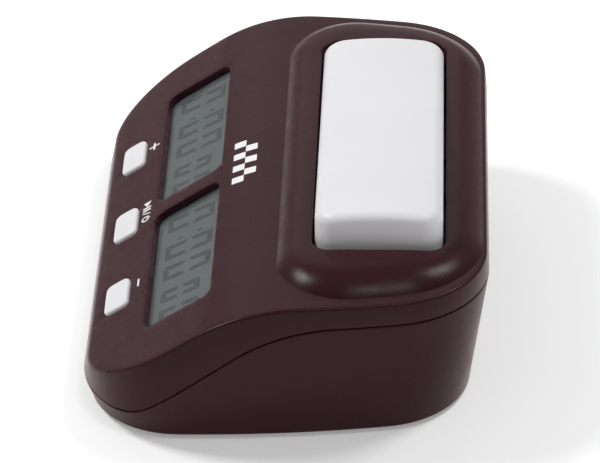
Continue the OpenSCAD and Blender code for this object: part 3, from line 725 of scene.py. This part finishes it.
def build_rocker():
    """The long see-saw key: a top crowned across its width, soft edges, hollow below."""
    shell = Shell()

    def crown(x, y):
        return ROCKER_TOP - ROCKER_CROWN_R + np.sqrt(ROCKER_CROWN_R**2 - y*y) - ROCKER_CROWN_DROP

    bottom = ROCKER_TOP - ROCKER_H
    rim = rocker_loop(0, crown)
    down = np.array((0, 0, ROCKER_EDGE))
    rows = shell.skin(
        rocker_loop(ROCKER_WALL, ROCKER_TOP - ROCKER_ROOF), rocker_loop(ROCKER_WALL, bottom + 0.2),
        rocker_loop(ROCKER_WALL - 0.2, bottom), rocker_loop(0.3, bottom), rocker_loop(0, bottom + 0.3),
        *reversed(rounded(rocker_loop(ROCKER_EDGE, crown), rim, rim - down, 8)),
        *(rocker_loop(inset, crown) for inset in ROCKER_INSETS),
    )
    shell.cap(rows[0])
    shell.cap(rows[-1])
    points = np.array(shell.points)
    tilt = -math.radians(ROCKER_SWING)/2
    turn = np.array(Matrix.Rotation(tilt, 3, "Y"))
    centre = np.array((0, 0, PIN_Z))
    points = (points - centre) @ turn.T + centre + (0, WELL_Y, 0)
    place(finish_mesh("rocker_key", points, shell.faces), "white_plastic", "rocker", ["rocker"])


build_rocker()


# --- Buttons ----------------------------------------------------------------------------------------
BUTTON_PROUD, BUTTON_CROWN, BUTTON_R, BUTTON_EDGE = 1.0, 0.3, 2, 0.6
BUTTON_INSETS = (1.2, 2, 2.8, 3.5)
FLANGE_N, FLANGE_T, FLANGE_R = -2.3, 1.1, 2
FLANGE_MORE_W, FLANGE_MORE_L = 2, 1.8


def build_button(name, spot):
    """A push button: wide flange below the panel and a domed cap with soft edges."""
    shell = Shell()
    centre = np.array((spot*BUTTON_PITCH, BUTTON_V))

    def flange(extra, n):
        w, l = BUTTON_W + FLANGE_MORE_W + 2*extra, BUTTON_L + FLANGE_MORE_L + 2*extra
        return on_panel(rounded_rect(centre, w, l, FLANGE_R + extra, along=(6, 4)), n)

    def cap(inset, n=None):
        radius = max(BUTTON_R - inset, 0.35)
        loop = rounded_rect(centre, BUTTON_W - 2*inset, BUTTON_L - 2*inset, radius, along=(6, 4))
        if n is None:
            across, up = (np.abs(loop - centre)/(BUTTON_W/2, BUTTON_L/2)).T
            n = BUTTON_PROUD - BUTTON_CROWN*(across**2 + up**2)/2
        return on_panel(loop, n)

    rim = cap(0)
    low = cap(0, BUTTON_PROUD - BUTTON_CROWN - BUTTON_EDGE)
    rows = shell.skin(
        flange(-0.15, FLANGE_N - FLANGE_T), flange(0, FLANGE_N - FLANGE_T + 0.15), flange(0, FLANGE_N - 0.1),
        flange(-0.1, FLANGE_N), cap(0, FLANGE_N), *reversed(rounded(cap(BUTTON_EDGE), rim, low, 6)),
        *(cap(inset) for inset in BUTTON_INSETS),
    )
    shell.cap(rows[0])
    shell.cap(rows[-1])
    place(finish_mesh(name + "_cap", shell.points, shell.faces), "white_plastic", name, [name])


for name, spot in (("plus_button", -1), ("play_button", 0), ("minus_button", 1)):
    build_button(name, spot)


# --- Displays ---------------------------------------------------------------------------------------
LCD_N = -2.65
FILM_T, DIGIT_T, MASK_T, MASK_GAP = 0.04, 0.012, 0.035, 0.005
# The film stops this much further short of the window's rear edge. Film and border are narrower than the pane.
FILM_GAP, NARROWER = 0.45, 0.4
LENS_EDGE = 0.12
SLANT = 0.2
# Digits of each display: left end, lower end, width and height, in the window's own frame
DIGITS = ((2.7, 3.2, 6.8, 15.6), (16.2, 3.2, 6.8, 15.6), (26.4, 3.2, 6.8, 15.6), (38.2, 3.2, 5.4, 12.8),
          (47.1, 3.2, 5.4, 12.8))
STROKE, SPLIT, MITRE_GAP = 1.8, 0.5, 0.14
# Colon of each display: left end, the lower end of its two dots, and the size of a dot
COLON_U, COLON_V, DOT_W, DOT_L = 13.1, (7.2, 13.6), 1.1, 1.5


def prism(shell, loop, low, high):
    """A closed flat plate from an outline, with low and high giving its lower and upper points."""
    rows = shell.skin(low(loop), high(loop))
    shell.cap(rows[0])
    shell.cap(rows[1])


def panel_plates(name, loops, low, high, slot, look):
    """Flat plates on the display panel, made as one piece."""
    shell = Shell()
    for loop in loops:
        prism(shell, np.asarray(loop, float), lambda p: on_panel(p, low), lambda p: on_panel(p, high))
    place(finish_mesh(name, shell.points, shell.faces), slot, look=look)


def bar(u0, u1, v0, v1, lean=0):
    """Outline of an upright bar whose top is moved sideways by lean."""
    return [(u0, v0), (u1, v0), (u1 + lean, v1), (u0 + lean, v1)]


def zero_strokes(w, h):
    """The six outer strokes of a seven-stroke digit."""
    s, g = STROKE, MITRE_GAP
    top = [(g, h), (s + g, h - s), (w - s - g, h - s), (w - g, h)]
    left = [(0, h - g), (0, h/2 + SPLIT), (s, h/2 + SPLIT + s/2), (s, h - s - g)]
    strokes = [top, left, [(w - u, v) for u, v in left]]
    return strokes + [[(u, h - v) for u, v in stroke] for stroke in strokes]


def build_display(name, side):
    """One display: clear pane, black border behind it, grey film on the glass, and its faint digits."""
    middle = np.array((side*(WINDOW_GAP + WINDOW_W/2), WINDOW_L/2))
    left = middle[0] - WINDOW_W/2
    width, length = WINDOW_W + 2*LENS_MARGIN, WINDOW_L + 2*LENS_MARGIN

    def plate(extra, n, radius=1):
        return on_panel(rounded_rect(middle, width + 2*extra, length + 2*extra, radius, along=(12, 6)), n)

    pane = Shell()
    rows = pane.skin(plate(-LENS_EDGE, LENS_N - LENS_T), plate(0, LENS_N - LENS_T + LENS_EDGE),
                     plate(0, LENS_N - LENS_EDGE), plate(-LENS_EDGE, LENS_N))
    pane.cap(rows[0])
    pane.cap(rows[-1])
    place(finish_mesh(name + "_lens_pane", pane.points, pane.faces), "clear_lens",
          stands_for=[name + "_lens"])

    film_top = LCD_N + FILM_T
    digits_top = film_top + DIGIT_T
    film_length = length - LENS_MARGIN - FILM_GAP - NARROWER
    film = rounded_rect(middle - (0, FILM_GAP/2 + LENS_MARGIN/2), width - NARROWER, film_length, 0.3)
    panel_plates(name + "_display_film", [film], LCD_N + 0.002, film_top, "lcd_glass", "display_film")
    strokes = []
    for u, v, w, h in DIGITS:
        for stroke in zero_strokes(w, h):
            strokes.append([(left + u + a + SLANT*b, v + b) for a, b in stroke])
    for v in COLON_V:
        u = left + COLON_U + SLANT*v
        strokes.append(bar(u, u + DOT_W, v, v + DOT_L, SLANT*DOT_L))
    panel_plates(name + "_display_digits", strokes, film_top - 0.01, digits_top,
                 "lcd_glass", "display_digits")

    mask = Shell()
    faces_at = (digits_top + MASK_GAP, digits_top + MASK_T)
    hole = [on_panel(window(side), n) for n in faces_at]
    border = rounded_rect(middle, width - NARROWER, length - NARROWER, 3, along=(24, 10))
    around = [on_panel(border, n) for n in faces_at]
    mask.skin(hole[0], hole[1], around[1], around[0], hole[0])
    points, faces = welded(mask)
    place(finish_mesh(name + "_display_border", points, faces), "black_plastic")


def welded(shell):
    """Points and faces of a shell with points at one place made one."""
    seen, numbers = {}, []
    for p in shell.points:
        numbers.append(seen.setdefault(tuple(round(c, 5) for c in p), len(seen)))
    faces = []
    for face in shell.faces:
        ring = [numbers[i] for i in face]
        ring = [v for i, v in enumerate(ring) if v != ring[i - 1]]
        if len(ring) > 2:
            faces.append(ring)
    return list(seen), faces


for name, side in (("left", -1), ("right", 1)):
    build_display(name, side)


# --- Printed marks ----------------------------------------------------------------------------------
PRINT_LOW, PRINT_HIGH = -0.03, 0.03
# Signs behind the buttons, placed across and up the panel: their middle line and half their height
SIGN_V, SIGN_HALF_H = -3.4, 1.3
PLUS_U, PLUS_ARM, PLUS_HALF_T = -36, 1.75, 0.31
MINUS_ENDS, MINUS_HALF_T = (31.7, 35.2), 0.29
PLAY_ENDS, PAUSE_BARS = (-6.5, -4.2), ((-4, -3.25), (-2.75, -2))
SLASH_ENDS, SLASH_LEAN = (-1.55, -1.1), 1.1
POWER_U, POWER_DROP, POWER_RADII, POWER_OPENING, POWER_HALF_T = 1.9, 0.1, (0.85, 1.35), math.radians(32), 0.24
# Chequers behind the windows: left and front ends of the strip, a cell's size, and the rows and columns
STRIP_LEFT, STRIP_FRONT, CELL_W, CELL_L, CELL_ROWS, CELL_COLUMNS = -12.3, -16.3, 3.0, 3.2, 2, 7


def ring_piece(centre, inner, outer, start, stop, steps=16):
    """Outline of a part of a ring."""
    outside = arc(centre, outer, start, stop + (stop - start)/steps, steps + 1)
    return np.concatenate([outside, arc(centre, inner, start, stop + (stop - start)/steps, steps + 1)[::-1]])


def build_signs():
    """Plus, minus and play, pause and power signs behind the buttons."""
    plus, corner = [], [(-PLUS_ARM, -PLUS_HALF_T), (-PLUS_HALF_T, -PLUS_HALF_T), (-PLUS_HALF_T, -PLUS_ARM)]
    for _ in range(4):
        plus += [(PLUS_U + x, SIGN_V + y) for x, y in corner]
        corner = [(-y, x) for x, y in corner]
    minus = bar(*MINUS_ENDS, SIGN_V - MINUS_HALF_T, SIGN_V + MINUS_HALF_T)
    low, high = SIGN_V - SIGN_HALF_H, SIGN_V + SIGN_HALF_H
    play = [(PLAY_ENDS[0], low), (PLAY_ENDS[1], SIGN_V), (PLAY_ENDS[0], high)]
    pause = [bar(*ends, low, high) for ends in PAUSE_BARS]
    slash = bar(*SLASH_ENDS, low, high, SLASH_LEAN)
    start, stop = math.pi/2 + POWER_OPENING, 5*math.pi/2 - POWER_OPENING
    ring = ring_piece((POWER_U, SIGN_V - POWER_DROP), *POWER_RADII, start, stop)
    stem = bar(POWER_U - POWER_HALF_T, POWER_U + POWER_HALF_T, SIGN_V + POWER_DROP, high + POWER_DROP)
    panel_plates("button_marks", [plus, minus, play, *pause, slash, ring, stem], PRINT_LOW, PRINT_HIGH,
                 "white_plastic", "printed_white")


def build_chequers():
    """The strip of printed chequers, which follows the top's bend."""
    shell = Shell()

    def printed(raised):
        return lambda loop: lifted(loop, lambda x, y: top_height(x, y) + raised)

    for row in range(CELL_ROWS):
        for column in range(CELL_COLUMNS):
            if (row + column) % 2 == 0:
                middle = (STRIP_LEFT + (column + 0.5)*CELL_W, STRIP_FRONT + (row + 0.5)*CELL_L)
                cell = rounded_rect(middle, CELL_W, CELL_L, 0.25, 3, (3, 3))
                prism(shell, cell, printed(PRINT_LOW), printed(PRINT_HIGH))
    place(finish_mesh("chequer_strip", shell.points, shell.faces), "white_plastic", look="printed_white")


build_signs()
build_chequers()

# --- CAD nodes that stay ----------------------------------------------------------------------------
for row in frame["record"]["subparts"]:
    node = frame["nodes"][row["node"]]
    for slot in node.material_slots:
        slot.material = material_for(row["material_slot"])


# --- Stage ------------------------------------------------------------------------------------------
# Lengths of the stage are in metres. Lamps: name, place, size and power; each looks at the origin.
FLOOR_HALF, FLOOR_GLOW, SKY_STRENGTH = 6, 0.25, 0.3
LAMPS = (("left_lamp", (-0.6, -1.65, 1.9), 0.6, 36), ("right_lamp", (-0.6, 1.3, 2.1), 0.6, 20),
         ("back", (-2.2, -0.3, 1.35), 1.8, 5), ("fill", (0.7, 0.45, 2.1), 0.5, 6))


def make_stage():
    """Pale floor with a faint glow, a pale sky, two key lamps, a weak broad one opposite and a fill lamp."""
    floor = bpy.data.meshes.new("floor")
    corners = [(x*FLOOR_HALF, y*FLOOR_HALF, 0) for x, y in ((-1, -1), (1, -1), (1, 1), (-1, 1))]
    floor.from_pydata(corners, [], [(0, 1, 2, 3)])
    ground = bpy.data.objects.new("floor", floor)
    bpy.context.scene.collection.objects.link(ground)
    m = Nodes("pale_floor")
    m.link(m.ramp(m.noise(400), (0.90, 0.90, 0.90), (0.92, 0.92, 0.92)), m.shader.inputs["Base Color"])
    m.set(Roughness=0.8, Specular_IOR_Level=0.1, Emission_Color=(1, 1, 1, 1), Emission_Strength=FLOOR_GLOW)
    floor.materials.append(m.material)
    world = bpy.data.worlds.new("sky")
    world.use_nodes = True
    world.node_tree.nodes["Background"].inputs["Color"].default_value = (1, 1, 1, 1)
    world.node_tree.nodes["Background"].inputs["Strength"].default_value = SKY_STRENGTH
    bpy.context.scene.world = world
    for name, spot, size, power in LAMPS:
        lamp = bpy.data.objects.new(name, bpy.data.lights.new(name, "AREA"))
        lamp.data.shape, lamp.data.size, lamp.data.energy = "SQUARE", size, power
        lamp.location = spot
        lamp.rotation_euler = (-Vector(spot)).to_track_quat("-Z", "Y").to_euler()
        bpy.context.scene.collection.objects.link(lamp)
    bpy.context.scene.view_settings.view_transform = "Standard"


make_stage()
